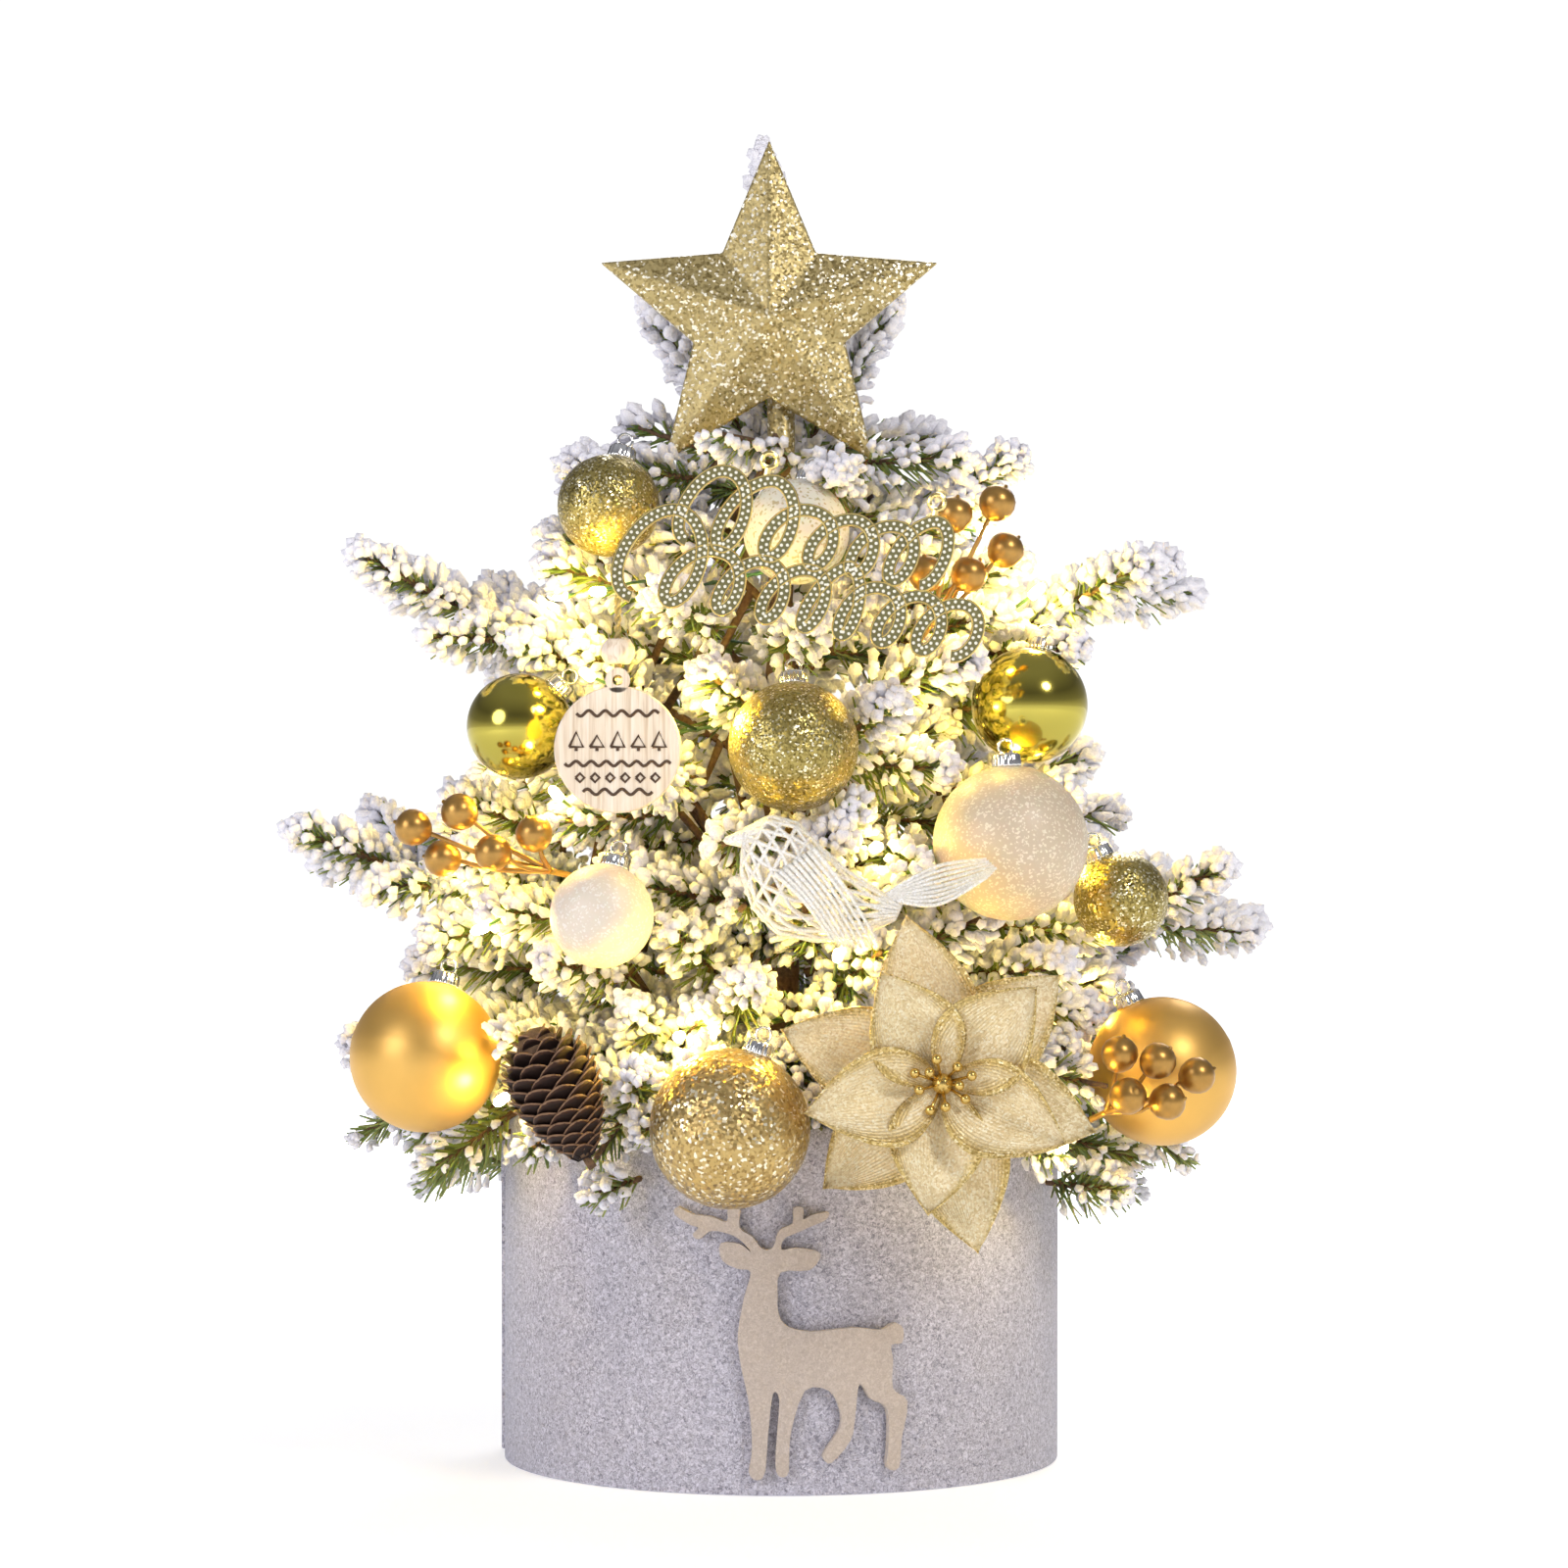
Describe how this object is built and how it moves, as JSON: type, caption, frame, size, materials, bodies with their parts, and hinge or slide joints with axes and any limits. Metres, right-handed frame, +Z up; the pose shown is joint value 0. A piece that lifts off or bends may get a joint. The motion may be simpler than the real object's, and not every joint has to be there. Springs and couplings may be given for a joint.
{
  "type": "artificial tabletop tree",
  "caption": "Flocked tabletop fir in a felt-wrapped pot, lit by a wound battery light string and dressed with baubles, star, scroll plaque, wood tag, bird, poinsettia, cone and berries.",
  "frame": {"origin": "centre of the pot's underside, on the surface it stands on", "axes": "+Z up along the trunk, front of the tree towards -Y, +X to the viewer's right"},
  "size_m": [0.3266, 0.2872, 0.45],
  "materials": {
    "pot_felt": "felt",
    "deer_felt": "felt",
    "black_plastic": "fine texture",
    "plaster": "cast plaster, rough",
    "trunk_tape": "wound crepe tape",
    "needles": "needles with white flock",
    "star_glitter": "coarse champagne glitter",
    "plaque_gold": "satin gold with silver studs",
    "maple": "sanded",
    "gold_cord": "twisted cord",
    "white_glitter": "white glitter",
    "petal_cloth": "ribbed glitter cloth",
    "stamen_gold": "metallised",
    "cone_brown": "natural scales",
    "berry_copper": "satin metallised",
    "wire_green": "clear green wire",
    "cell_metal": "satin",
    "glitter_gold": "gold glitter",
    "mirror_gold": "polished olive gold",
    "satin_gold": "satin gold",
    "frosted_cream": "frosted with fine glitter",
    "speckled_white": "milky with speckles",
    "champagne_glitter": "coarse champagne glitter",
    "cap_silver": "crimped foil"
  },
  "bodies": {
    "tree": {"felt_pot_wall": "pot_felt", "felt_pot_bottom": "pot_felt", "deer_applique": "deer_felt", "inner_pot": "black_plastic", "plaster_weight": "plaster", "trunk": "trunk_tape", "branch_low_left": "needles", "branch_low_right": "needles", "branch_low_front_left": "needles", "branch_low_front_right": "needles", "branch_low_back": "needles", "branch_mid_left": "needles", "branch_mid_right": "needles", "branch_mid_front": "needles", "branch_mid_back": "needles", "branch_high_left": "needles", "branch_high_right": "needles", "branch_high_back": "needles", "branch_top_left": "needles", "branch_top_right": "needles", "top_leader": "needles", "bird": "white_glitter", "flower_outer_petals": "petal_cloth", "flower_inner_petals": "petal_cloth", "flower_stamens": "stamen_gold", "pine_cone": "cone_brown", "berry_spray_left": "berry_copper", "berry_spray_upper_right": "berry_copper", "berry_spray_lower_right": "berry_copper", "light_string": "wire_green", "battery_box": "black_plastic", "battery_cell_1": "cell_metal", "battery_cell_2": "cell_metal", "bauble_glitter_upper_left": "glitter_gold", "bauble_speckled_top": "speckled_white", "bauble_mirror_right": "mirror_gold", "bauble_frosted_left": "frosted_cream", "bauble_satin_left": "satin_gold", "bauble_mirror_back": "mirror_gold"},
    "star": {"star_front": "star_glitter", "star_back": "star_glitter", "star_sleeve": "star_glitter"},
    "plaque": {"scrollwork_plaque": "plaque_gold"},
    "tag": {"tag_disc": "maple", "tag_bead": "maple", "tag_cord": "gold_cord"},
    "box_cover": {"battery_cover": "black_plastic"},
    "box_switch": {"battery_switch": "black_plastic"},
    "ball_mirror_left": {"bauble_mirror_left": "mirror_gold", "cap_mirror_left": "cap_silver"},
    "ball_glitter_centre": {"bauble_glitter_centre": "glitter_gold", "cap_glitter_centre": "cap_silver"},
    "ball_frosted_right": {"bauble_frosted_right": "frosted_cream", "cap_frosted_right": "cap_silver"},
    "ball_glitter_right": {"bauble_glitter_right": "glitter_gold", "cap_glitter_right": "cap_silver"},
    "ball_glitter_front": {"bauble_glitter_front": "champagne_glitter", "cap_glitter_front": "cap_silver"},
    "ball_satin_right": {"bauble_satin_right": "satin_gold", "cap_satin_right": "cap_silver"}
  },
  "joints": [
    {"name": "star_lift", "type": "slide", "parent": "tree", "child": "star", "axis": [0, 0, 1], "range_m": [0, 0.06]},
    {"name": "plaque_tip", "type": "hinge", "parent": "tree", "child": "plaque", "pos_m": [0.02292, -0.112, 0.32372], "axis": [-0.9699, 0, 0.2434], "range_deg": [0, 15]},
    {"name": "tag_swing", "type": "hinge", "parent": "tree", "child": "tag", "pos_m": [-0.052, -0.1, 0.288], "axis": [0, 1, 0], "range_deg": [-10, 10]},
    {"name": "cover_slide", "type": "slide", "parent": "tree", "child": "box_cover", "axis": [-1, 0, 0], "range_m": [0, 0.022]},
    {"name": "switch_slide", "type": "slide", "parent": "tree", "child": "box_switch", "axis": [1, 0, 0], "range_m": [0, 0.003]},
    {"name": "mirror_left_turn", "type": "hinge", "parent": "tree", "child": "ball_mirror_left", "pos_m": [-0.086, -0.052, 0.247], "axis": [0.7071, 0, 0.7071], "continuous": true},
    {"name": "glitter_centre_turn", "type": "hinge", "parent": "tree", "child": "ball_glitter_centre", "pos_m": [0.004, -0.097, 0.24], "axis": [0, 0.2873, 0.9578], "continuous": true},
    {"name": "frosted_right_turn", "type": "hinge", "parent": "tree", "child": "ball_frosted_right", "pos_m": [0.074, -0.084, 0.209], "axis": [-0.0499, 0, 0.9988], "continuous": true},
    {"name": "glitter_right_turn", "type": "hinge", "parent": "tree", "child": "ball_glitter_right", "pos_m": [0.112, -0.05, 0.19], "axis": [-0.4472, 0, 0.8944], "continuous": true},
    {"name": "glitter_front_turn", "type": "hinge", "parent": "tree", "child": "ball_glitter_front", "pos_m": [-0.016, -0.126, 0.12], "axis": [0.3401, 0, 0.9404], "continuous": true},
    {"name": "satin_right_turn", "type": "hinge", "parent": "tree", "child": "ball_satin_right", "pos_m": [0.126, -0.044, 0.133], "axis": [-0.4229, 0, 0.9062], "continuous": true}
  ]
}
